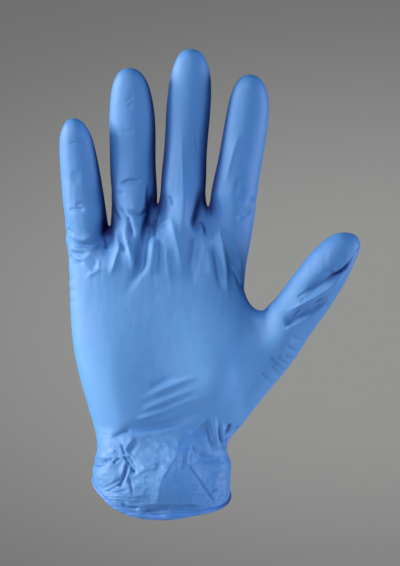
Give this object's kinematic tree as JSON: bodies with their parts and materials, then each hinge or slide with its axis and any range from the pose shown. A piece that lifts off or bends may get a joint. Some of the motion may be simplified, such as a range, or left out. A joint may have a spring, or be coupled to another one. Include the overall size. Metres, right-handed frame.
{
  "type": "disposable nitrile chemical-resistant glove",
  "caption": "Thin blue nitrile glove in its worn shape, fingers spread and thumb out, hollow throughout, with a crumpled cuff and a rolled bead edge.",
  "frame": {"origin": "centre of the wrist opening, inside the rolled edge of the cuff", "axes": "+Z from the wrist to the fingertips, +X from the little finger to the thumb, +Y from the palm to the back of the hand; the palm faces -Y"},
  "size_m": [0.1489, 0.051, 0.2336],
  "materials": {
    "nitrile_film": "satin blue dipped nitrile film",
    "rolled_bead": "satin blue nitrile film rolled on itself"
  },
  "bodies": {
    "root": {"glove_film": "nitrile_film", "rolled_cuff_bead": "rolled_bead"}
  },
  "joints": []
}
